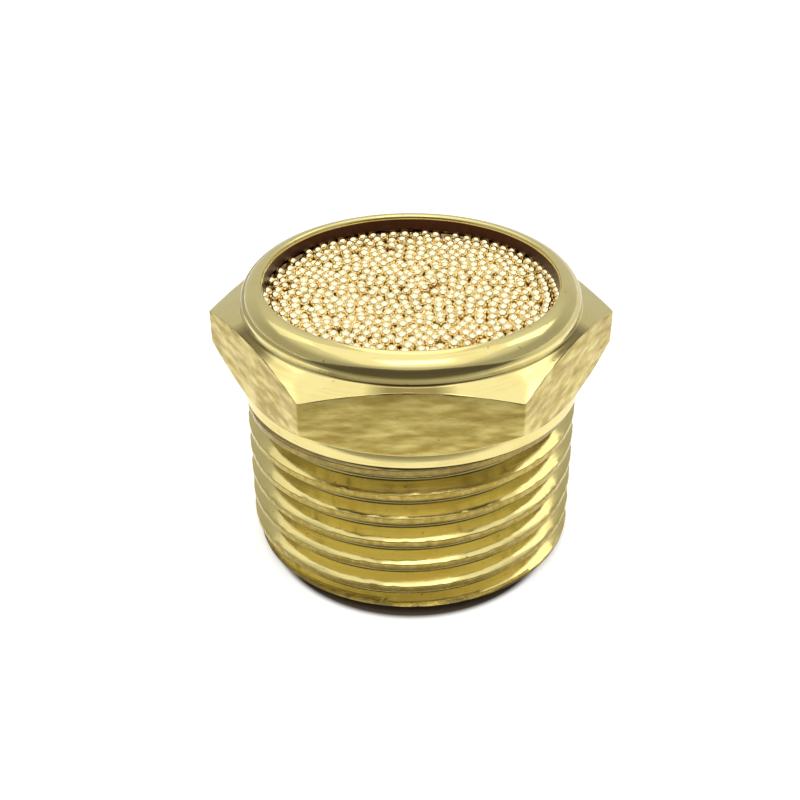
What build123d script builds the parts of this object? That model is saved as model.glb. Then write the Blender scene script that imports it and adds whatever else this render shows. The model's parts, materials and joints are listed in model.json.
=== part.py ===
from build123d import *
import os
from math import radians, tan

# Flat pneumatic muffler: a brass body turned from hexagon bar, with a disc of sintered bronze
# beads held in its top by a rolled lip. Air comes up the bore and leaves through the disc.
#
# Millimetres. +Z is the axis, pointing out through the disc. The origin is the centre of the
# threaded end, and a pair of hexagon flats faces -Y and +Y. The thread sets the part's size:
# the other diameters follow from it through the walls and steps named here.

# ---- Male thread: G 3/8, parallel, 19 threads per inch -------------------------------------
THREAD_DIAMETER = 16.45        # over the crests; the stem is left at this size, unthreaded
THREAD_LENGTH = 8.85           # from the end face up to the shoulder
THREAD_END_CHAMFER = 0.57      # 45 degrees, lets the thread start in its port

# ---- Shoulder and hexagon ------------------------------------------------------------------
SHOULDER_STEP = 0.125          # radial, shoulder outside the thread: the face that seats
SHOULDER_HEIGHT = 0.7          # from that face up to the middle of a flat's lower edge
FLAT_STEP = 0.275              # radial, flats outside the thread: 17 mm across flats
HEX_CORNER_RADIUS = 0.12       # edges of the drawn bar
HEX_FLAT_HEIGHT = 3.2          # lower to upper edge, in the middle of a flat
HEX_LOWER_CONE_ANGLE = 38      # degrees from square, turned cone that trims the corners
HEX_UPPER_CONE_ANGLE = 23

# ---- Collar, and the lip rolled over from it -----------------------------------------------
COLLAR_STEP = 0.325            # radial, collar inside the flats
COLLAR_STRAIGHT = 0.395        # from a flat's upper edge up to where the lip starts to roll
COLLAR_FOOT_RADIUS = 0.12      # tool radius where the collar meets the hexagon's upper cone
COLLAR_WALL = 0.825            # radial, outside of the collar to the disc's seat
LIP_OVERHANG = 0.27            # radial, how far the lip reaches in over the disc's edge
LIP_TIP_RADIUS = 0.14          # round on the lip's inner edge
LIP_DEPTH = 0.8                # straight inside wall, from the top of the lip down
LIP_UNDERSIDE_ANGLE = 45       # degrees from square

# ---- Seat and bore -------------------------------------------------------------------------
SEAT_LEDGE = 1.25              # radial, ring that the disc rests on, from the seat to the bore
BORE_ENTRY_CHAMFER = 0.4

# ---- Sintered disc -------------------------------------------------------------------------
DISC_THICKNESS = 3.0
DISC_SIDE_CLEARANCE = 0.02     # radial, disc to seat
DISC_LIP_CLEARANCE = 0.03      # along Z, disc to the underside of the lip
DISC_FACE_STEP = 0.05          # radial, how far the disc's flat face stops inside the opening

# ---- Radii and levels that follow ----------------------------------------------------------
thread_radius = THREAD_DIAMETER / 2
shoulder_radius = thread_radius + SHOULDER_STEP
hex_apothem = thread_radius + FLAT_STEP
collar_radius = hex_apothem - COLLAR_STEP
seat_radius = collar_radius - COLLAR_WALL
lip_radius = seat_radius - LIP_OVERHANG
lip_roll_radius = collar_radius - lip_radius - LIP_TIP_RADIUS
bore_radius = seat_radius - SEAT_LEDGE
disc_radius = seat_radius - DISC_SIDE_CLEARANCE
disc_face_radius = lip_radius - DISC_FACE_STEP

lower_slope = tan(radians(HEX_LOWER_CONE_ANGLE))
upper_slope = tan(radians(HEX_UPPER_CONE_ANGLE))
lip_slope = tan(radians(LIP_UNDERSIDE_ANGLE))

shoulder_z = THREAD_LENGTH
hex_bottom_z = shoulder_z + SHOULDER_HEIGHT
hex_top_z = hex_bottom_z + HEX_FLAT_HEIGHT
roll_z = hex_top_z + COLLAR_STRAIGHT
rim_z = roll_z + lip_roll_radius
lip_under_z = rim_z - LIP_DEPTH
seat_top_z = lip_under_z - LIP_OVERHANG * lip_slope
disc_top_z = lip_under_z - DISC_LIP_CLEARANCE + DISC_FACE_STEP * lip_slope
disc_edge_z = disc_top_z - (disc_radius - disc_face_radius) * lip_slope
ledge_z = disc_top_z - DISC_THICKNESS


def lower_cone_z(radius):
    """Height of the hexagon's lower cone, which runs through the middle of each lower edge."""
    return hex_bottom_z + (radius - hex_apothem) * lower_slope


def upper_cone_z(radius):
    """Height of the upper cone, through the middle of each upper edge."""
    return hex_top_z - (radius - hex_apothem) * upper_slope


def body_section():
    """Half section of the body on the XZ plane, as it would be turned from round bar."""
    bar_radius = hex_apothem * 1.2      # clear of the hexagon's corners
    foot = (collar_radius, upper_cone_z(collar_radius))
    with BuildSketch(Plane.XZ) as section:
        with BuildLine():
            outside = Polyline(
                (bore_radius + BORE_ENTRY_CHAMFER, 0),
                (thread_radius - THREAD_END_CHAMFER, 0),
                (thread_radius, THREAD_END_CHAMFER),
                (thread_radius, shoulder_z),
                (shoulder_radius, shoulder_z),
                (shoulder_radius, lower_cone_z(shoulder_radius)),
                (bar_radius, lower_cone_z(bar_radius)),
                (bar_radius, upper_cone_z(bar_radius)),
                foot,
                (collar_radius, roll_z),
            )
            CenterArc((collar_radius - lip_roll_radius, roll_z), lip_roll_radius, 0, 90)
            tip = CenterArc(
                (lip_radius + LIP_TIP_RADIUS, rim_z - LIP_TIP_RADIUS), LIP_TIP_RADIUS, 90, 90
            )
            Polyline(
                tip @ 1,
                (lip_radius, lip_under_z),
                (seat_radius, seat_top_z),
                (seat_radius, ledge_z),
                (bore_radius, ledge_z),
                (bore_radius, BORE_ENTRY_CHAMFER),
                outside @ 0,
            )
        make_face()
        fillet(section.vertices().sort_by_distance(foot)[0], COLLAR_FOOT_RADIUS)
    return section.sketch


def make_body():
    """Hexagon bar turned to the section: what lies in the bar and in the turned form."""
    with BuildPart() as body:
        with BuildSketch() as bar:
            RegularPolygon(hex_apothem, 6, major_radius=False)
            fillet(bar.vertices(), HEX_CORNER_RADIUS)
        extrude(amount=rim_z)
        revolve(body_section(), Axis.Z, mode=Mode.INTERSECT)
    return body.part


def make_disc():
    """Disc of sintered beads: its upper edge is a cone, which the lip is rolled down onto."""
    with BuildPart() as disc:
        with BuildSketch(Plane.XZ):
            with BuildLine():
                Polyline(
                    (0, ledge_z),
                    (disc_radius, ledge_z),
                    (disc_radius, disc_edge_z),
                    (disc_face_radius, disc_top_z),
                    (0, disc_top_z),
                    close=True,
                )
            make_face()
        revolve(axis=Axis.Z)
    return disc.part


def write(name, part):
    """Write one piece to its own STEP file, named after the piece."""
    part.label = name
    export_step(part, os.path.join("parts", name + ".step"))


if __name__ == "__main__":
    os.makedirs("parts", exist_ok=True)
    write("body", make_body())
    write("sintered_disc", make_disc())
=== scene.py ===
import json
from math import atan, cos, pi, radians, sin, tan

import bmesh
import bpy
import numpy as np
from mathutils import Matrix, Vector


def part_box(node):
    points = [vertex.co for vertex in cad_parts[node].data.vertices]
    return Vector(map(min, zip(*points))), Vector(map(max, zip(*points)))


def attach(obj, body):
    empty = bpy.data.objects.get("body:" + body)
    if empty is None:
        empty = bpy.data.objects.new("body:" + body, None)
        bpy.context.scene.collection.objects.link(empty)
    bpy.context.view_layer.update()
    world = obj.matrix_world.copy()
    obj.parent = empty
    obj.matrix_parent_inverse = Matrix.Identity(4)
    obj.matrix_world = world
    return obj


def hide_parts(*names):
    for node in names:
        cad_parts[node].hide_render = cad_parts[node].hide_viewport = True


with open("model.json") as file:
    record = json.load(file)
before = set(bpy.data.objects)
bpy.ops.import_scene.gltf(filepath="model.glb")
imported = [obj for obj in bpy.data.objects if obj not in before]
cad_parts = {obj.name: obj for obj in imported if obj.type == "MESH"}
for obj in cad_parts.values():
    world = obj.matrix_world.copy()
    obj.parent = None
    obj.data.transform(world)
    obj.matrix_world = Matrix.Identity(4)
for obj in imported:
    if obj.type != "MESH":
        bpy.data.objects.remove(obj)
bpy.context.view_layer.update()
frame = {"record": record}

# Looks of a flat pneumatic muffler: the brass body with its real thread, turned cones and rolled
# lip, and the sintered disc as fused beads. Meshes are worked out in millimetres, in the CAD
# frame, and stored in metres.

MM = 0.001

# ---- Sizes read from the frame (mm) ----------------------------------------------------------
mounts = {m["name"]: m for m in frame["record"]["mounts"]}
body_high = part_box("body")[1] / MM
disc_low, disc_high = (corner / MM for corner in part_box("sintered_disc"))
rim_z = body_high.z
flat_radius = body_high.y                        # hexagon's flats, from the axis
crest_radius = mounts["male_thread"]["dims"]["r_mm"]
bore_radius = mounts["air_bore"]["dims"]["r_mm"]
seat_z = mounts["seating_shoulder"]["pos_m"][2] / MM
hex_middle_z = mounts["spanner_flat_front"]["pos_m"][2] / MM
ledge_z = disc_low.z
disc_top_z = disc_high.z
disc_radius = disc_high.x

# ---- Thread (mm) -----------------------------------------------------------------------------
THREAD_PITCH = 25.4 / 19                         # G 3/8: 19 threads per inch
THREAD_ANGLE = radians(55)
THREAD_ROOT_RADIUS = 7.475
THREAD_ROOT_ROUND = 0.137329 * THREAD_PITCH      # the standard round of a 55 degree thread
THREAD_END_CHAMFER = 0.57
FRONT_CREST_Z = 1.66                             # middle of the lowest whole crest, at -Y
CREST_HALF = 0.167                               # middle of a crest to its corners
CREST_ROUND = 0.04                               # upper corner, where it isn't worn
CREST_ROUND_BELOW = 0.09                         # lower corner
CREST_WORN = 0.34                                # how far wear reaches down the upper flank
CREST_WORN_FLAT = 0.05                           # and in over the crest
WORN_ABOVE, WORN_FROM = 0.75, 1.05               # heights between which that wear sets in
WORN_BELOW, SHARP_ABOVE = 4.6, 5.9               # and between which it ends
CREST_WEAR = 0.016                               # how low the crests are worn all round
CREST_WEAR_REACH = 0.06                          # measured down from the crest
CREST_TEAR = 0.012                               # how far the cutter tore the lower corner
CREST_TEAR_WIDTH = 0.06
CREST_NICKS = [                                  # turn, degrees, half width in degrees, depth
    (5, -62, 0.8, 0.06), (5, -54, 0.6, 0.05), (5, -70, 1.0, 0.04), (2, -84, 0.6, 0.05),
    (0, -102, 0.8, 0.05), (3, -128, 0.9, 0.05), (3, 40, 1.2, 0.08), (1, 150, 0.9, 0.06),
    (4, 200, 1.0, 0.06),
]
CREST_MARKED = 0.04                              # the material's torn edge, down from the crest
END_SHADE_WIDTH = 0.12                                # painted shade: a dark strip above the end's chamfer
END_SHADE_MARK = 2.0                                  # its value in the crest mark
RUN_OUT_LENGTH = 0.5                             # where the thread gets shallow, below the shoulder
RUN_OUT_SHARE = 0.85
FLANK_ROWS = (0.40, 0.49)                        # above a crest: they keep the flank straight
END_ROWS = 7                                     # mesh rows up the end's chamfer
CHAMFER_STEPS = 115                              # levels at which that chamfer is looked for

# ---- Head and inside (mm) --------------------------------------------------------------------
SHOULDER_RADIUS = crest_radius + 0.125
SHOULDER_CORNER = 0.025
SHOULDER_STRAIGHT = 0.35                         # below its hollowed flank
SHOULDER_HOLLOW = 0.055
SHOULDER_HOLLOW_ROUND = (0.32, 0.27)
SHOULDER_BURR = 0.1                              # its lower edge, pressed down a little
HEX_FLAT_HEIGHT = 3.2
HEX_CORNER_ROUND = 0.12
HEX_EDGE_ROUND = 0.06
LOW_EDGE_WORN, TOP_EDGE_WORN = 0.4, 0.8          # shares of that round
LOWER_CONE_SLOPE = tan(radians(38))
UPPER_CONE_SLOPE = tan(radians(23))
SHADED_CONE_WIDTH = 0.2                            # the upper cone gets painted shade where it is this narrow
COLLAR_RADIUS = flat_radius - 0.325
COLLAR_FOOT_ROUND = 0.12
LIP_RADIUS = 7.08
LIP_TIP_ROUND = 0.14
LIP_TIP_WIDTH = 0.14                             # its worn edge, from the inside wall outwards
LIP_TIP_DROP = 0.22                              # and from the top down
LIP_DEPTH = 0.8
INSIDE_ROUND = 0.03                              # corners of the seat, the bore and the end face
SEAT_CLEARANCE = 0.02
BORE_ENTRY_CHAMFER = 0.4
END_FACE_INSET = 0.1                             # the end face stops this far inside the root
SLACK = 0.01                                     # added where points are picked by their place
COLUMNS = 360
CORNER_COLUMNS = (0.12, 0.24, 0.353, 0.47)       # degrees to both sides of each corner

shoulder_z = seat_z - SHOULDER_BURR
hex_bottom_z = hex_middle_z - HEX_FLAT_HEIGHT / 2
hex_top_z = hex_middle_z + HEX_FLAT_HEIGHT / 2
seat_radius = disc_radius + SEAT_CLEARANCE

# ---- Sintered disc (mm) ----------------------------------------------------------------------
BEAD_RADIUS = 0.275
BEAD_VARIATION = 0.16                            # share of the radius, up or down
BEAD_OVERLAP = 0.98                              # of two radii: the beads are fused
BEADS_PER_AREA = 3.5
BEAD_PUSHES = 160                                # steps in which crowded beads move apart
BEAD_PUSH = 0.4                                  # share of an overlap that one step undoes
BEAD_GROUP_GAP = 1.02                            # radii from a bead's centre to the next one's skin
BEAD_UNEVENNESS = 0.16                           # how deep a bead may lie below the others
BEAD_LAYER_STEP = 0.24
CORE_DEPTH = 0.80                                # from the face down to the core's flat top
CORE_STEPS = 96
SPIN_SEED = 38

# ---- Colours ---------------------------------------------------------------------------------
BRASS = (0.71, 0.61, 0.255)                      # head
BRASS_THREAD = (0.61, 0.52, 0.205)               # below the shoulder
BRASS_TARNISHED = (0.66, 0.53, 0.19)
BRASS_TORN = (0.38, 0.27, 0.05)                  # crests
BRASS_END_PAINTED_SHADE = (0.17, 0.13, 0.04)                  # painted shade above the end's chamfer
BRASS_UNDER_SHOULDER_SHADE = (0.22, 0.16, 0.06)                 # painted shade just under the shoulder
BRASS_CONE_SHADE = (0.17, 0.125, 0.035)                # painted shade on the narrow part of the upper cone
BRASS_STAINED = (0.10, 0.06, 0.03)               # specks
# Painted shade on the lip's inside wall
LIP_INSIDE_PAINTED_SHADE = (0.07, 0.03, 0.02)
SKIN = (0.48, 0.37, 0.095)                       # flats
SKIN_PALE = (0.66, 0.54, 0.185)
SKIN_STAINED = (0.38, 0.26, 0.06)
BEAD_PALE = (0.95, 0.82, 0.50)
BEAD_ROSE = (0.94, 0.78, 0.46)
BEAD_DEEP_SHADE = (0.93, 0.77, 0.44)                   # slight painted shade on the sides of the beads
BEAD_GAP_SHADE = (0.66, 0.46, 0.23)                    # painted shade down between them
BEAD_RIM_SHADE = (0.28, 0.18, 0.09)                    # painted shade against the lip

# ---- Stage, light and camera (m) -------------------------------------------------------------
FLOOR_HALF = 3.0
FLOOR_WHITE = (0.9, 0.9, 0.9)
FLOOR_GLOW = 0.38                                # adds up to white with the light on the floor
CONTACT_SHADE = (0.12, 0.09, 0.06)               # painted contact shadow: a dark disc under the end face
CONTACT_RADIUS = (0.0070, 0.0073)                # where it starts to fade and where it ends
CONTACT_SHIFT = 0.0012                           # of its centre, towards the front
PAINTED_FLOOR_SHADE = (0.2, 0.19, 0.17)                 # painted shade on the floor close in front, only in reflections
PAINTED_FLOOR_SHADE_SHARE = 0.78
PAINTED_FLOOR_SHADE_REACH = (0.018, 0.009)                    # from the axis: where it starts and is full
PAINTED_FLOOR_SHADE_FRONT = (-0.004, -0.009)                  # and towards the front
WORLD_LOW = 0.52                                 # brightness near the horizon
WORLD_BEHIND = 0.72                              # the same, behind the object
WORLD_HIGH = 0.98                                # and overhead
WORLD_RISE = (radians(28), radians(46))          # elevations between which it gets brighter
WORLD_BACK = (0.3, 0.8)                          # how far back a direction points, for the same
# Card seen only in reflections: a painted reflection, dark in front as painted shade and paler on
# the right as painted light.
CARD_FRONT_PAINTED_SHADE = (0.11, 0.10, 0.09)
CARD_LEFT = (0.42, 0.41, 0.39)
CARD_RIGHT_PAINTED_LIGHT = (0.80, 0.80, 0.77)
CARD_SIDES = (-0.04, 0.04)                       # the left shade turns into the right one
CARD_SHADED = (-0.015, -0.06)                    # and both into the front one
CARD_START = 0.027                               # inner edge in front, from the axis
CARD_START_SIDE = 0.040                          # and elsewhere
CARD_RINGS = ((0.10, 0.0), (0.16, 0.35), (0.20, 1.0))    # radius, share of the rise
CARD_RISE = radians(33)
CARD_FRONT_SPAN = 0.35                           # it rises where the direction is this far front
CARD_LIFT = 0.0005                               # off the floor
CARD_STEPS = 72
SOFTBOXES = [                                    # name, place, target, size, brightness
    ("softbox_above", (0, -0.065, 0.25), (0, -0.065, 0), (0.34, 0.35), 0.4),
    ("softbox_key", (0.01, -0.10, 0.25), (0, -0.065, 0), (0.14, 0.085), 1.9),
    ("softbox_back", (0, 0.245, 0.25), (0, 0.245, 0), (0.08, 0.25), 0.8),
    ("softbox_left", (-0.181, 0.096, 0.22), (0, 0, 0.008), (0.11, 0.11), 0.5),
    ("softbox_right", (0.181, 0.096, 0.22), (0, 0, 0.008), (0.11, 0.11), 1.3),
]
CAMERA_ELEVATION = 32.127                        # degrees
CAMERA_DISTANCE = 62.51                          # mm, as is the next
CAMERA_TARGET_Z = 7.09
CAMERA_LENS = 55.447
CAMERA_SHIFT = -0.0139


# ---- Smooth noise along a line or round the axis ---------------------------------------------
def waves(angle, seed, orders):
    """Smooth noise of about -1 to 1 along an angle: one wave of each order."""
    draw = np.random.default_rng(seed)
    total = np.zeros_like(angle)
    for order in orders:
        total += draw.normal() * np.sin(order * angle + draw.uniform(0, 2 * pi))
    return total / np.sqrt(len(orders))


def rough_line(angle, seed, lowest=2.0, highest=170.0):
    """Noise along an angle that may pass a full turn."""
    return waves(angle, seed, np.geomspace(lowest, highest, 16))


def rough_ring(angle, seed, lowest=2, highest=60):
    """Noise that closes on itself after a full turn."""
    return waves(angle, seed, np.unique(np.geomspace(lowest, highest, 16).astype(int)))


# ---- Columns: directions round the axis, closer together at the hexagon's corners ------------
def column_angles():
    even = np.arange(COLUMNS) * (2 * pi / COLUMNS)
    near = np.radians([-c for c in reversed(CORNER_COLUMNS)] + list(CORNER_COLUMNS))
    corners = np.radians(np.arange(0, 360, 60))
    extra = (corners[:, None] + near[None, :]).ravel() % (2 * pi)
    return np.sort(np.concatenate([even, extra]))


theta = column_angles()
columns = len(theta)


def hexagon_radius(angles):
    """Distance from the axis to the hexagonal bar, with its drawn corners rounded."""
    from_flat = (angles % (pi / 3)) - pi / 6
    from_corner = pi / 6 - np.abs(from_flat)
    straight = flat_radius / np.cos(from_flat)
    centre = (flat_radius - HEX_CORNER_ROUND) / cos(pi / 6)
    under_root = np.clip(HEX_CORNER_ROUND**2 - (centre * np.sin(from_corner)) ** 2, 0, None)
    rounded = centre * np.cos(from_corner) + np.sqrt(under_root)
    tangent = pi / 6 - atan(centre * sin(pi / 6) / flat_radius)
    return np.where(from_corner < tangent, rounded, straight)


# ---- Rows: the turned section, as (radius, height) at every column ---------------------------
def arc(centre_r, centre_z, radius, start, end, steps):
    """Points on a circular arc in the section; angles in degrees from the outward direction."""
    angles = np.radians(np.linspace(start, end, steps + 1))
    return [(centre_r + radius * cos(a), centre_z + radius * sin(a)) for a in angles]


def as_point(point):
    """A section point as an array of two rows, with one value or one for each column."""
    return np.stack([np.atleast_1d(v) for v in np.broadcast_arrays(*point)]).astype(float)


def edge(before, corner, after, size, size_after=None, steps=4):
    """Rounds a corner of the section: size is how far the round starts from the corner.

    The values of the three points may be numbers or one value for each column.
    """
    before, corner, after = as_point(before), as_point(corner), as_point(after)

    def along(target, reach):
        leg = target - corner
        return corner + leg * reach / np.sqrt((leg**2).sum(0))

    start, end = along(before, size), along(after, size if size_after is None else size_after)
    shares = np.linspace(0, 1, steps + 1)
    return [tuple((1 - t) ** 2 * start + 2 * t * (1 - t) * corner + t**2 * end) for t in shares]


def between(first, last, steps):
    """Points inside a straight run, without its ends."""
    shares = np.linspace(0, 1, steps + 1)[1:-1]
    return [(first[0] + (last[0] - first[0]) * t, first[1] + (last[1] - first[1]) * t)
            for t in shares]


def thread_profile(worn=False):
    """(offset from the crest along Z, radius) over one pitch, from root to root."""
    half_angle = THREAD_ANGLE / 2
    root_half = THREAD_ROOT_ROUND * cos(half_angle)
    root_top = THREAD_ROOT_RADIUS + THREAD_ROOT_ROUND * (1 - sin(half_angle))
    flank = (crest_radius - root_top) * tan(half_angle)
    crest_half = THREAD_PITCH / 2 - root_half - flank
    rising = [
        (THREAD_ROOT_ROUND * sin(a) - THREAD_PITCH / 2,
         THREAD_ROOT_RADIUS + THREAD_ROOT_ROUND * (1 - cos(a)))
        for a in np.linspace(0, pi / 2 - half_angle, 3)
    ]
    falling = [(-z, r) for z, r in reversed(rising)]
    corner, middle = (crest_radius, crest_half), (crest_radius, 0)
    foot = (root_top, crest_half + flank)
    flat, reach = (CREST_WORN_FLAT, CREST_WORN) if worn else (CREST_ROUND, CREST_ROUND)
    upper = [(z[0], r[0]) for r, z in edge(middle, corner, foot, flat, reach)]
    below = edge(middle, corner, foot, CREST_ROUND_BELOW)
    lower = [(-z[0], r[0]) for r, z in reversed(below)]
    return np.array(rising + lower + [(0, crest_radius)] + upper + falling)


def thread_surface(height):
    """Radius of the thread at a height for each column, and 0 to 1 for being on its crest.

    The end's chamfer isn't in it.
    """
    sharp, worn = thread_profile(), thread_profile(worn=True)
    place = (height - FRONT_CREST_Z) / THREAD_PITCH - (theta + pi / 2) / (2 * pi)
    turn = np.round(place)
    along = theta + 2 * pi * turn
    offset = (place - turn) * THREAD_PITCH
    ragged = CREST_TEAR * np.clip(rough_line(along, 5, 20), -1, 2)
    offset = offset + ragged * np.exp(-(((offset + CREST_HALF) / CREST_TEAR_WIDTH) ** 2))
    share = np.clip((SHARP_ABOVE - height) / (SHARP_ABOVE - WORN_BELOW), 0, 1)
    share = share * np.clip((height - WORN_ABOVE) / (WORN_FROM - WORN_ABOVE), 0, 1)
    share = share * np.clip(0.95 + 0.35 * rough_line(along, 17, 6, 60), 0.2, 1)
    radius = (1 - share) * np.interp(offset, sharp[:, 0], sharp[:, 1])
    radius = radius + share * np.interp(offset, worn[:, 0], worn[:, 1])
    crest = np.clip((radius - crest_radius) / CREST_MARKED + 1, 0, 1)
    outer = np.clip((radius - crest_radius) / CREST_WEAR_REACH + 1, 0, 1)
    wear = CREST_WEAR * np.clip(0.5 + rough_line(along, 11, 4, 90), 0, 2)
    for nick_turn, nick_angle, width, depth in CREST_NICKS:
        distance = along - 2 * pi * nick_turn - radians(nick_angle)
        wear = wear + depth * np.exp(-((distance / radians(width)) ** 2))
    radius = radius - wear * outer
    run_out = np.clip((height - shoulder_z) / RUN_OUT_LENGTH + 1, 0, 1)
    return radius + (crest_radius - radius) * run_out * RUN_OUT_SHARE, crest


def end_chamfer(height):
    return crest_radius - THREAD_END_CHAMFER + height


def chamfer_top():
    """Height at each column where the end's chamfer leaves the thread.

    Where the chamfer doesn't reach the groove, the height runs evenly from one side to the other.
    """
    levels = np.linspace(0, THREAD_END_CHAMFER, CHAMFER_STEPS)
    cut = np.array([thread_surface(np.full(columns, z))[0] > end_chamfer(z) for z in levels])
    highest = len(levels) - 1 - np.argmax(cut[::-1], axis=0)
    reached = cut.any(axis=0)
    return np.interp(theta, theta[reached], levels[highest][reached])


def thread_rows():
    """Rows up the end's chamfer, then rows that climb with the right-handed helix.

    At the seam a climbing row comes in one pitch above where it started, so it carries on in the
    row one turn further on. The first and last turns are clamped all the way round.
    """
    stations = np.unique(np.concatenate([
        thread_profile()[:, 0], thread_profile(worn=True)[:, 0], FLANK_ROWS,
    ]).round(3))[:-1]
    rise = THREAD_PITCH * (theta + pi / 2) / (2 * pi)
    first_turn = -int(FRONT_CREST_Z / THREAD_PITCH) - 2
    low = chamfer_top()
    heights = [low * share for share in np.linspace(0, 1, END_ROWS)]
    for turn in range(first_turn, int(shoulder_z / THREAD_PITCH) + 1):
        for offset in stations:
            climbing = FRONT_CREST_Z + turn * THREAD_PITCH + offset + rise
            heights.append(np.clip(climbing, low, shoulder_z))
    rows, crests = [], []
    for height in heights:
        radius, crest = thread_surface(height)
        rows.append((np.minimum(radius, end_chamfer(height)), height))
        # Rows just above the end's chamfer get the mark for painted shade.
        crests.append(np.where(height > low + END_SHADE_WIDTH, crest, END_SHADE_MARK))
    return rows, crests, len(stations)


def lower_cone(radius):
    return hex_bottom_z + (radius - flat_radius) * LOWER_CONE_SLOPE


def upper_cone(radius):
    return hex_top_z - (radius - flat_radius) * UPPER_CONE_SLOPE


def head_rows():
    """Shoulder, hexagon, collar and lip, from the thread's end up to the lip's worn edge."""
    hexagon = hexagon_radius(theta)
    bruise = HEX_EDGE_ROUND * (1 + 0.5 * rough_ring(theta, 7).clip(-1, 2))
    shoulder_low = (SHOULDER_RADIUS, shoulder_z)
    shoulder_middle = (SHOULDER_RADIUS, shoulder_z + SHOULDER_STRAIGHT)
    neck = SHOULDER_RADIUS - SHOULDER_HOLLOW
    shoulder_top = (neck, lower_cone(neck))
    low_edge = (hexagon, lower_cone(hexagon))
    top_edge = (hexagon, upper_cone(hexagon))
    foot = (COLLAR_RADIUS, upper_cone(COLLAR_RADIUS))
    lip_roll = COLLAR_RADIUS - LIP_RADIUS - LIP_TIP_ROUND
    roll_z = rim_z - lip_roll
    rows = edge((crest_radius, shoulder_z), shoulder_low, shoulder_middle, SHOULDER_CORNER)
    rows += edge(shoulder_low, shoulder_middle, shoulder_top, *SHOULDER_HOLLOW_ROUND, steps=8)
    low = edge(shoulder_top, low_edge, top_edge, bruise * LOW_EDGE_WORN)
    top = edge(low_edge, top_edge, foot, bruise * TOP_EDGE_WORN)
    rows += between(rows[-1], low[0], 3) + low
    rows += between(low[-1], top[0], 5) + top
    toe = edge(top_edge, foot, (COLLAR_RADIUS, roll_z), COLLAR_FOOT_ROUND)
    rows += between(top[-1], toe[0], 3) + toe
    rows += arc(COLLAR_RADIUS - lip_roll, roll_z, lip_roll, 0, 85, 18)
    turns = np.radians(np.linspace(90, 180, 13))
    rows += [(LIP_RADIUS + LIP_TIP_WIDTH * (1 + cos(a)), rim_z - LIP_TIP_DROP * (1 - sin(a)))
             for a in turns]
    return rows


def inside_rows():
    """From the lip's inside wall down the seat and the bore to the end face."""
    under_z = rim_z - LIP_DEPTH
    seat_top = (seat_radius, under_z - (seat_radius - LIP_RADIUS))
    ledge_out, ledge_in = (seat_radius, ledge_z), (bore_radius, ledge_z)
    bore_low = (bore_radius, BORE_ENTRY_CHAMFER)
    end_in = (bore_radius + BORE_ENTRY_CHAMFER, 0.0)
    end_out = (THREAD_ROOT_RADIUS - END_FACE_INSET, 0.0)
    wall_top, wall_low = (LIP_RADIUS, rim_z - LIP_TIP_DROP), (LIP_RADIUS, under_z)
    corners = [wall_top, wall_low, seat_top, ledge_out, ledge_in, bore_low, end_in, end_out]
    rounds = [edge(*corners[i:i + 3], INSIDE_ROUND, steps=2) for i in range(len(corners) - 2)]
    *upper, bore, end = rounds
    rows = sum(upper, [])
    return rows + between(rows[-1], bore[0], 3) + bore + end + [end_out]


def mesh_object(name, points, faces, materials, marks=None):
    """A smooth-shaded mesh object from points in millimetres, with doubled points joined.

    marks are named values at the points, which the materials read.
    """
    mesh = bpy.data.meshes.new(name)
    mesh.from_pydata((np.asarray(points) * MM).tolist(), [], faces)
    for mark, values in (marks or {}).items():
        layer = mesh.attributes.new(mark, "FLOAT", "POINT")
        layer.data.foreach_set("value", np.asarray(values, dtype=np.float32).ravel())
    work = bmesh.new()
    work.from_mesh(mesh)
    bmesh.ops.remove_doubles(work, verts=work.verts, dist=0.0002 * MM)
    bmesh.ops.dissolve_degenerate(work, edges=work.edges, dist=0.0002 * MM)
    bmesh.ops.recalc_face_normals(work, faces=work.faces)
    work.to_mesh(mesh)
    work.free()
    mesh.shade_smooth()
    for material in materials:
        mesh.materials.append(material)
    piece = bpy.data.objects.new(name, mesh)
    bpy.context.collection.objects.link(piece)
    return piece


def make_body(materials):
    """The body as one closed skin: rows of the section, joined from column to column."""
    thread, crests, turn_rows = thread_rows()
    rows = thread + head_rows() + inside_rows()
    radius, height = (np.array([np.broadcast_to(np.ravel(row[i]), columns) for row in rows])
                      for i in (0, 1))
    points = np.stack([radius * np.cos(theta), radius * np.sin(theta), height], -1)
    crest = np.zeros_like(radius)
    crest[:len(crests)] = crests
    # The lip's inside wall: painted shade and more roughness.
    inside = (radius < LIP_RADIUS + SLACK) & (height > rim_z - LIP_DEPTH - 2 * SLACK)
    inside &= height < rim_z - LIP_TIP_DROP + SLACK
    last_thread = len(thread) - 1

    def across_seam(row):
        """The row that carries on from this one past the last column."""
        return min(row + turn_rows, last_thread) if END_ROWS <= row <= last_thread else row

    faces = []
    for row in range(len(rows)):
        above = (row + 1) % len(rows)
        for column in range(columns - 1):
            faces.append([row * columns + column, row * columns + column + 1,
                          above * columns + column + 1, above * columns + column])
        faces.append([(row + 1) * columns - 1, across_seam(row) * columns,
                      across_seam(above) * columns, (above + 1) * columns - 1])
    width = hexagon_radius(theta) - flat_radius  # of the upper cone, outside the flats' middle
    # Painted shade where the upper cone is narrow, at the foot of the collar.
    cone_shade_share = np.clip(1.3 - width / SHADED_CONE_WIDTH, 0, 1) * (height > hex_top_z - SHADED_CONE_WIDTH)
    cone_shade_share = cone_shade_share * (height < upper_cone(COLLAR_RADIUS) + COLLAR_FOOT_ROUND)
    marks = {"crest": crest, "lip_inside": inside, "dull_cone": cone_shade_share}
    body = mesh_object("threaded_body", points.reshape(-1, 3), faces, materials, marks)
    for face in body.data.polygons:
        upright = abs(face.normal.z) < 0.3
        if upright and face.center.xy.length > (flat_radius - 2 * SLACK) * MM:
            face.material_index = 1              # a flat, with the bar's own skin
    body.data.set_sharp_from_angle(angle=radians(45))
    return body


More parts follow.
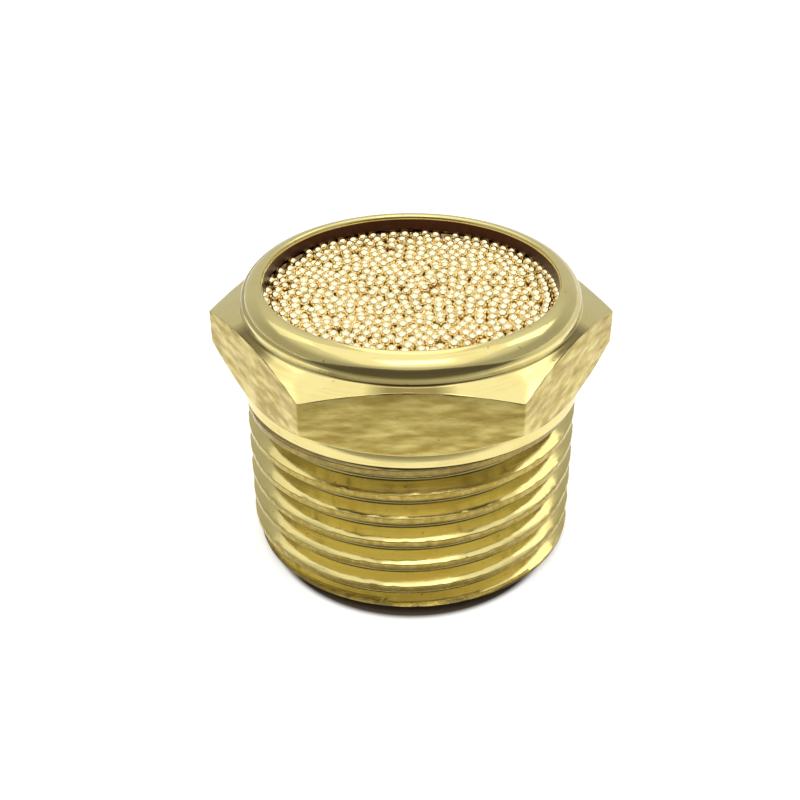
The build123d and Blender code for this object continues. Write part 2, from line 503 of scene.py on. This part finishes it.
# ---- Sintered disc: beads fused where they touch ---------------------------------------------
def pack_beads(limit, draw):
    """Beads in a circle, as tight as loose beads settle: centres, radii, room to the circle."""
    count = int(BEADS_PER_AREA * pi * limit**2)
    radii = BEAD_RADIUS * (1 + BEAD_VARIATION * draw.uniform(-1, 1, count))
    limit = limit - radii
    reach = limit * np.sqrt(draw.uniform(0, 1, count))
    turn = draw.uniform(0, 2 * pi, count)
    spots = np.stack([reach * np.cos(turn), reach * np.sin(turn)], -1)
    spacing = BEAD_OVERLAP * (radii[:, None] + radii[None, :])
    far = np.eye(count) * 10                     # no bead pushes itself
    for _ in range(BEAD_PUSHES):
        apart = spots[:, None] - spots[None, :]
        distance = np.sqrt((apart**2).sum(-1)) + far
        push = np.clip(spacing - distance, 0, None) / distance
        spots += BEAD_PUSH * (apart * push[..., None]).sum(1)
        reach = np.sqrt((spots**2).sum(-1))
        spots *= np.minimum(1, limit / np.maximum(reach, 1e-9))[:, None]
    return spots, radii, limit - np.sqrt((spots**2).sum(-1))


def unit_ball(detail):
    """Points and faces of a round ball of radius 1, from an icosahedron."""
    work = bmesh.new()
    bmesh.ops.create_icosphere(work, subdivisions=detail, radius=1)
    points = np.array([v.co for v in work.verts])
    faces = np.array([[v.index for v in f.verts] for f in work.faces])
    work.free()
    return points, faces


def ball_groups(centres, radii):
    """Sorts balls into groups in which none touches another, so that each is a clean solid."""
    groups = []
    for ball in range(len(centres)):
        for group in groups:
            gaps = np.linalg.norm(centres[group] - centres[ball], axis=1) - radii[group]
            if gaps.min() > radii[ball] * BEAD_GROUP_GAP:
                group.append(ball)
                break
        else:
            groups.append([ball])
    return groups


def ball_object(centres, radii, detail, draw):
    """One mesh object that holds these balls, each turned its own way."""
    points, faces = unit_ball(detail)
    spins = draw.normal(size=(len(centres), 3, 3))
    spins = np.array([np.linalg.qr(s)[0] for s in spins])
    spins *= np.linalg.det(spins)[:, None, None]
    all_points = centres[:, None] + radii[:, None, None] * np.einsum("nij,pj->npi", spins, points)
    all_faces = faces[None] + (np.arange(len(centres)) * len(points))[:, None, None]
    return mesh_object("beads", all_points.reshape(-1, 3), all_faces.reshape(-1, 3).tolist(), [])


def keep_outer_skin(mesh):
    """Removes the closed skins of hollows left between fused beads: all but the largest skin."""
    work = bmesh.new()
    work.from_mesh(mesh)
    left, skins = set(work.verts), []
    while left:
        skin, reached = set(), [left.pop()]
        while reached:
            vert = reached.pop()
            skin.add(vert)
            near = {e.other_vert(vert) for e in vert.link_edges} & left
            left -= near
            reached.extend(near)
        skins.append(skin)
    largest = max(skins, key=len)
    inner = [v for v in work.verts if v not in largest]
    bmesh.ops.delete(work, geom=inner, context="VERTS")
    work.to_mesh(mesh)
    work.free()


def fuse(piece, others):
    """Joins closed meshes into one closed skin, with nothing left inside."""
    for other in others:
        union = piece.modifiers.new("union", "BOOLEAN")
        union.operation = "UNION"
        union.solver = "MANIFOLD"
        union.object = other
    view = bpy.context.evaluated_depsgraph_get()
    fused = bpy.data.meshes.new_from_object(piece.evaluated_get(view))
    piece.modifiers.clear()
    piece.data = fused
    keep_outer_skin(fused)
    for other in others:
        bpy.data.objects.remove(other)


def bead_layer(limit, surface_z, outward, depth, seed):
    """Centres and radii of one layer of beads, whose crowns lie a depth below surface_z.

    outward is 1 for a layer that faces up and -1 for one that faces down.
    """
    draw = np.random.default_rng(seed)
    spots, radii, inset = pack_beads(limit, draw)
    sink = depth + BEAD_UNEVENNESS * draw.uniform(0, 1, len(spots)) ** 1.5 * np.clip(inset, 0.1, 1)
    return np.column_stack([spots, surface_z - outward * (radii + sink)]), radii


def make_core(bronze):
    """The solid that the beads sink into: a turned section with a closed top and bottom.

    Its top lies deeper than the gaps between the beads show, and it rests on the body's ledge.
    """
    core_top, core_low = disc_top_z - CORE_DEPTH, ledge_z + BEAD_RADIUS
    section = [                                  # radius and height, from the top to the bore
        (disc_radius - 0.6, core_top), (disc_radius - 0.12, disc_top_z - 0.24),
        (disc_radius, disc_top_z - 0.33), (disc_radius, ledge_z + 0.2),
        (disc_radius - 0.2, ledge_z), (bore_radius + 0.4, ledge_z), (bore_radius + 0.4, core_low),
    ]
    turn = np.linspace(0, 2 * pi, CORE_STEPS, endpoint=False)
    circle = np.stack([np.cos(turn), np.sin(turn), 0 * turn], -1)
    rings = [circle * (r, r, 0) + (0, 0, z) for r, z in section]
    points = np.concatenate(rings + [[(0, 0, core_top), (0, 0, core_low)]])
    top_middle, low_middle = len(points) - 2, len(points) - 1
    lowest = (len(section) - 1) * CORE_STEPS
    faces = []
    for i in range(CORE_STEPS):
        j = (i + 1) % CORE_STEPS
        faces.append([top_middle, i, j])
        faces.append([low_middle, lowest + j, lowest + i])
        for a in range(0, lowest, CORE_STEPS):
            b = a + CORE_STEPS
            faces.append([a + j, a + i, b + i, b + j])
    return mesh_object("bead_disc", points, faces, [bronze])


def make_disc(bronze):
    """The disc: its core, three layers of beads on top, and one below, over the bore."""
    layers = [                                   # detail of a ball, centres, radii
        (2, *bead_layer(disc_radius, disc_top_z, 1, 0.0, 1)),
        (1, *bead_layer(disc_radius, disc_top_z, 1, BEAD_LAYER_STEP, 2)),
        (1, *bead_layer(disc_radius, disc_top_z, 1, 2 * BEAD_LAYER_STEP, 4)),
        (1, *bead_layer(bore_radius + BEAD_RADIUS, ledge_z, -1, 0.0, 3)),
    ]
    disc = make_core(bronze)
    draw = np.random.default_rng(SPIN_SEED)
    groups = [ball_object(centres[group], radii[group], detail, draw)
              for detail, centres, radii in layers for group in ball_groups(centres, radii)]
    fuse(disc, groups)
    disc.data.shade_smooth()
    disc.data.set_sharp_from_angle(angle=radians(35))
    return disc


# ---- Materials -------------------------------------------------------------------------------
class Nodes:
    """The node tree of a material or the world, and short ways to add nodes to it."""

    def __init__(self, owner):
        owner.use_nodes = True
        self.nodes = owner.node_tree.nodes
        self.links = owner.node_tree.links

    def add(self, kind, inputs=None, **settings):
        made = self.nodes.new("ShaderNode" + kind)
        for key, value in settings.items():
            setattr(made, key, value)
        for key, value in (inputs or {}).items():
            self.feed(made.inputs[key], value)
        return made

    def feed(self, socket, value):
        if isinstance(value, bpy.types.NodeSocket):
            self.links.new(value, socket)
        else:
            socket.default_value = value

    def spread(self, value, low, high, to_low=0.0, to_high=1.0):
        made = self.add("MapRange", {"Value": value, "From Min": low, "From Max": high,
                                     "To Min": to_low, "To Max": to_high})
        return made.outputs[0]

    def math(self, operation, first, second):
        return self.add("Math", {0: first, 1: second}, operation=operation).outputs[0]

    def times(self, first, second):
        return self.math("MULTIPLY", first, second)

    def mix(self, share, first, second):
        """Between two colours; a plain colour is three numbers."""
        first, second = (c if isinstance(c, bpy.types.NodeSocket) else (*c, 1)
                         for c in (first, second))
        made = self.add("Mix", {0: share, 6: first, 7: second}, data_type="RGBA")
        return made.outputs[2]

    def parts(self, vector):
        return self.add("SeparateXYZ", {0: vector}).outputs[:3]

    def length(self, vector):
        return self.add("VectorMath", {0: vector}, operation="LENGTH").outputs["Value"]


class Surface(Nodes):
    """A material on the standard shader, with textures placed by the object's own coordinates.

    settings are values of the shader's sockets that are the same all over.
    """

    def __init__(self, name, settings):
        self.material = bpy.data.materials.new(name)
        super().__init__(self.material)
        self.shader = self.nodes["Principled BSDF"]
        self.place = self.add("TexCoord").outputs["Object"]
        self.shade(settings)

    def shade(self, values):
        """Feeds sockets of the shader and gives back the material."""
        for key, value in values.items():
            self.feed(self.shader.inputs[key], value)
        return self.material

    def noise(self, size, vector=None, detail=2.0):
        """Noise of 0 to 1 with features of a size in millimetres."""
        made = self.add("TexNoise", {"Vector": vector or self.place, "Scale": 1 / (size * MM),
                                     "Detail": detail})
        return made.outputs[0]

    def stretched(self, x, y, z):
        scaled = self.add("VectorMath", {0: self.place, 1: (x, y, z)}, operation="MULTIPLY")
        return scaled.outputs[0]

    def section(self):
        """The place in the turned section: radius and height, the same all round."""
        return self.add("CombineXYZ", {0: self.reach(), 1: self.height()}).outputs[0]

    def reach(self):
        """Distance from the axis."""
        return self.length(self.stretched(1, 1, 0))

    def height(self):
        return self.parts(self.place)[2]

    def bump(self, height, depth, normal=None):
        """A relief of a depth in millimetres."""
        made = self.add("Bump", {"Height": height, "Distance": depth * MM, "Strength": 1.0})
        if normal:
            self.links.new(normal, made.inputs["Normal"])
        return made.outputs[0]

    def mark(self, name):
        return self.add("Attribute", attribute_name=name).outputs["Fac"]


def turned_brass():
    """Turned surfaces: fine rings from the tool, a little tarnish, torn crests, and painted shade
    on the lip's inside wall, under the shoulder, above the end's chamfer and on the narrow part of
    the upper cone.
    """
    brass = Surface("turned_brass", {"Metallic": 1, "Anisotropic": 0.5,
                                     "Anisotropic Rotation": 0.25})
    section, height = brass.section(), brass.height()
    wander = brass.add("VectorMath", {0: section, 1: brass.stretched(0.04, 0.04, 0.04)})
    rings = brass.noise(0.09, section)
    streaks = brass.noise(0.12, wander.outputs[0], detail=3)
    patches = brass.times(brass.spread(brass.noise(2.5, detail=3), 0.45, 0.7),
                          brass.spread(streaks, 0.3, 0.6))
    specks = brass.spread(brass.noise(0.35, detail=3), 0.68, 0.78)
    crest, lip_inside = brass.mark("crest"), brass.mark("lip_inside")
    torn = brass.times(brass.math("MINIMUM", crest, 1.0),
                       brass.spread(brass.noise(0.3, detail=3), 0.35, 0.6, 0.6, 1.0))
    # Painted shade on the strip above the end's chamfer, patchy.
    end_shade = brass.times(brass.spread(crest, 1.0, 1.8),
                       brass.spread(brass.noise(1.2, detail=3), 0.5, 0.62, 0.95, 0.3))
    below = brass.spread(height, (shoulder_z + SLACK) * MM, (shoulder_z - SLACK) * MM)
    # Painted shade on the thread just under the shoulder, patchy.
    under_shoulder_shade = brass.spread(height, (shoulder_z - 1.0) * MM, (shoulder_z - 0.55) * MM)
    under_shoulder_shade = brass.times(brass.times(under_shoulder_shade, below),
                        brass.spread(brass.noise(1.5, detail=3), 0.3, 0.6, 0.45, 0.8))

    colour = brass.mix(below, BRASS, BRASS_THREAD)
    for share, shade in [
        (patches, BRASS_TARNISHED), (brass.times(specks, 0.6), BRASS_STAINED),
        (torn, BRASS_TORN), (end_shade, BRASS_END_PAINTED_SHADE), (lip_inside, LIP_INSIDE_PAINTED_SHADE),
        (under_shoulder_shade, BRASS_UNDER_SHOULDER_SHADE), (brass.times(brass.mark("dull_cone"), 0.85), BRASS_CONE_SHADE),
    ]:
        colour = brass.mix(share, colour, shade)
    roughness = brass.spread(streaks, 0.35, 0.65, 0.09, 0.17)
    for share, more in [(patches, 0.06), (lip_inside, 0.25), (torn, 0.15)]:
        roughness = brass.math("ADD", roughness, brass.times(share, more))
    normal = brass.bump(rings, 0.0006)
    normal = brass.bump(streaks, 0.0012, normal)
    normal = brass.bump(torn, 0.012, normal)
    tangent = brass.add("Tangent", direction_type="RADIAL", axis="Z").outputs[0]
    return brass.shade({"Base Color": colour, "Roughness": roughness, "Normal": normal,
                        "Tangent": tangent})


def bar_skin():
    """The drawn bar's own skin on the flats: dull, mottled and stained in places."""
    skin = Surface("bar_skin", {"Metallic": 1})
    along = skin.stretched(0.6, 0.6, 2.2)
    mottle = skin.spread(skin.noise(0.7, along, detail=5), 0.36, 0.64)
    stains = skin.spread(skin.noise(1.3, along, detail=5), 0.48, 0.66)
    streaks = skin.noise(0.12, skin.stretched(1, 1, 0.08), detail=3)
    specks = skin.spread(skin.noise(0.3, detail=2), 0.74, 0.80)
    colour = skin.mix(mottle, SKIN_PALE, SKIN)
    colour = skin.mix(skin.times(stains, 0.75), colour, SKIN_STAINED)
    colour = skin.mix(specks, colour, BRASS_STAINED)
    roughness = skin.spread(mottle, 0, 1, 0.34, 0.5)
    normal = skin.bump(streaks, 0.002)
    normal = skin.bump(skin.noise(0.5, detail=4), 0.012, normal)
    return skin.shade({"Base Color": colour, "Roughness": roughness, "Normal": normal})


def sintered_bronze():
    """Skin of the beads: two tints, with painted shade down between the beads and against the lip.
    """
    bronze = Surface("sintered_bronze", {"Metallic": 1})
    height, reach = bronze.height(), bronze.reach()

    def below_top(start, full):
        """0 to 1 between two depths under the disc's face, in millimetres."""
        return bronze.spread(height, (disc_top_z - start) * MM, (disc_top_z - full) * MM)

    tint = bronze.spread(bronze.noise(0.9, detail=1), 0.35, 0.65)
    under_lip_shade = bronze.spread(reach, (disc_radius - 0.42) * MM, (disc_radius - 0.30) * MM)
    colour = bronze.mix(tint, BEAD_PALE, BEAD_ROSE)
    # Painted shade: darker deeper down between the beads and under the lip.
    colour = bronze.mix(below_top(0.15, 0.5), colour, BEAD_DEEP_SHADE)
    colour = bronze.mix(below_top(0.40, 0.60), colour, BEAD_GAP_SHADE)
    colour = bronze.mix(bronze.times(under_lip_shade, below_top(0.12, 0.25)), colour, BEAD_RIM_SHADE)
    roughness = bronze.spread(bronze.noise(0.5), 0.3, 0.7, 0.10, 0.22)
    normal = bronze.bump(bronze.noise(0.10, detail=2), 0.002)
    return bronze.shade({"Base Color": colour, "Roughness": roughness, "Normal": normal})


body = make_body([turned_brass(), bar_skin()])
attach(body, "root")
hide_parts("body")

disc = make_disc(sintered_bronze())
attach(disc, "root")
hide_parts("sintered_disc")


# ---- Stage, light and camera -----------------------------------------------------------------
def softbox(name, place, target, size, brightness):
    """An area lamp with a given brightness: one that a mirror would show as that value."""
    light = bpy.data.lights.new(name, "AREA")
    light.shape = "RECTANGLE"
    light.size, light.size_y = size
    light.energy = brightness * pi * size[0] * size[1]
    lamp = bpy.data.objects.new(name, light)
    lamp.location = place
    lamp.rotation_euler = (Vector(target) - Vector(place)).to_track_quat("-Z", "Y").to_euler()
    bpy.context.collection.objects.link(lamp)


def floor_material():
    """Pale floor that the camera and shiny surfaces see as white, with its shadows kept.

    A dark disc is a painted contact shadow under the end face. In reflections the floor also gets
    painted shade close in front of the object.
    """
    floor = Surface("floor_white", {"Roughness": 0.7, "Specular IOR Level": 0.1,
                                    "Emission Color": (1, 1, 1, 1)})
    path = floor.add("LightPath").outputs
    glossy = path["Is Glossy Ray"]
    seen = floor.math("MAXIMUM", path["Is Camera Ray"], glossy)
    seen = floor.math("MAXIMUM", seen, path["Is Transmission Ray"])
    shifted = floor.add("VectorMath", {0: floor.place, 1: (0, CONTACT_SHIFT, 0)})
    reach = floor.length(shifted.outputs[0])
    clear = floor.spread(reach, *CONTACT_RADIUS)
    # Painted shade on the floor close in front, seen only in reflections.
    near = floor.math("POWER", floor.spread(reach, *PAINTED_FLOOR_SHADE_REACH), 2.0)
    strongest = floor.times(glossy, PAINTED_FLOOR_SHADE_SHARE)
    front = floor.spread(floor.parts(floor.place)[1], *PAINTED_FLOOR_SHADE_FRONT, 0.0, strongest)
    painted_floor_shade = floor.times(near, front)
    colour = floor.mix(clear, CONTACT_SHADE, FLOOR_WHITE)
    colour = floor.mix(painted_floor_shade, colour, PAINTED_FLOOR_SHADE)
    glow = floor.times(clear, floor.math("SUBTRACT", 1.0, painted_floor_shade))
    glow = floor.times(seen, floor.times(glow, FLOOR_GLOW))
    return floor.shade({"Base Color": colour, "Emission Strength": glow})


def make_floor():
    half = FLOOR_HALF
    mesh = bpy.data.meshes.new("floor")
    mesh.from_pydata([(-half, -half, 0), (half, -half, 0), (half, half, 0), (-half, half, 0)],
                     [], [(0, 1, 2, 3)])
    mesh.materials.append(floor_material())
    floor = bpy.data.objects.new("floor", mesh)
    bpy.context.collection.objects.link(floor)
    return floor


def make_world():
    """A pale studio: brighter overhead and behind, and plain white to the camera."""
    world = bpy.data.worlds.new("studio")
    sky = Nodes(world)
    background = sky.nodes["Background"]
    _, back, up = sky.parts(sky.add("TexCoord").outputs["Generated"])
    low = sky.spread(back, *WORLD_BACK, WORLD_LOW, WORLD_BEHIND)
    strength = sky.spread(up, *(sin(rise) for rise in WORLD_RISE), low, WORLD_HIGH)
    seen = sky.add("LightPath").outputs["Is Camera Ray"]
    sky.feed(background.inputs["Color"], (1, 1, 1, 1))
    sky.feed(background.inputs["Strength"], sky.math("MAXIMUM", strength, seen))
    bpy.context.scene.world = world


def card_material():
    """Grey card: dark in front of the object as painted shade, and paler on the right than on the
    left as painted light.
    """
    card = Surface("grey_card", {"Roughness": 1, "Specular IOR Level": 0})
    across, back, _ = card.parts(card.place)
    colour = card.mix(card.spread(across, *CARD_SIDES), CARD_LEFT, CARD_RIGHT_PAINTED_LIGHT)
    colour = card.mix(card.spread(back, *CARD_SHADED), colour, CARD_FRONT_PAINTED_SHADE)
    return card.shade({"Base Color": colour})


def surround_card():
    """A card round the object that only shows as a reflection in metal: a painted reflection.

    It lies on the floor, away from the object, and rises in front, where metal shows its painted
    shade in place of the light there.
    """
    points, faces = [], []
    rings = len(CARD_RINGS) + 1
    for step, angle in enumerate(np.radians(np.linspace(0, 360, CARD_STEPS + 1))):
        front = np.clip((-sin(angle) - CARD_FRONT_SPAN) / (1 - CARD_FRONT_SPAN), 0, 1)
        front = front * front * (3 - 2 * front)
        start = CARD_START + (CARD_START_SIDE - CARD_START) * (1 - front)
        rise = tan(front * CARD_RISE)
        for reach, share in ((start, 0.0), *CARD_RINGS):
            height = CARD_LIFT + share * reach * rise
            points.append((reach * cos(angle), reach * sin(angle), height))
        if step:
            for a in range((step - 1) * rings, step * rings - 1):
                faces.append([a, a + rings, a + rings + 1, a + 1])
    mesh = bpy.data.meshes.new("surround_card")
    mesh.from_pydata(points, [], faces)
    mesh.materials.append(card_material())
    card = bpy.data.objects.new("surround_card", mesh)
    for kind in ("camera", "diffuse", "transmission", "shadow"):
        setattr(card, "visible_" + kind, False)
    bpy.context.collection.objects.link(card)
    return card


def make_camera():
    """Looks at the object from the front and above, as the photographer did."""
    data = bpy.data.cameras.new("camera")
    data.sensor_width = 36
    data.lens = CAMERA_LENS
    data.shift_x = CAMERA_SHIFT
    data.clip_start = 0.005
    camera = bpy.data.objects.new("camera", data)
    tilt = radians(CAMERA_ELEVATION)
    camera.location = (0, -CAMERA_DISTANCE * cos(tilt) * MM,
                       (CAMERA_TARGET_Z + CAMERA_DISTANCE * sin(tilt)) * MM)
    camera.rotation_euler = (pi / 2 - tilt, 0, 0)
    bpy.context.collection.objects.link(camera)
    bpy.context.scene.camera = camera


make_floor()
make_world()
for lamp_settings in SOFTBOXES:
    softbox(*lamp_settings)
surround_card()
make_camera()
bpy.context.scene.view_settings.view_transform = "Standard"
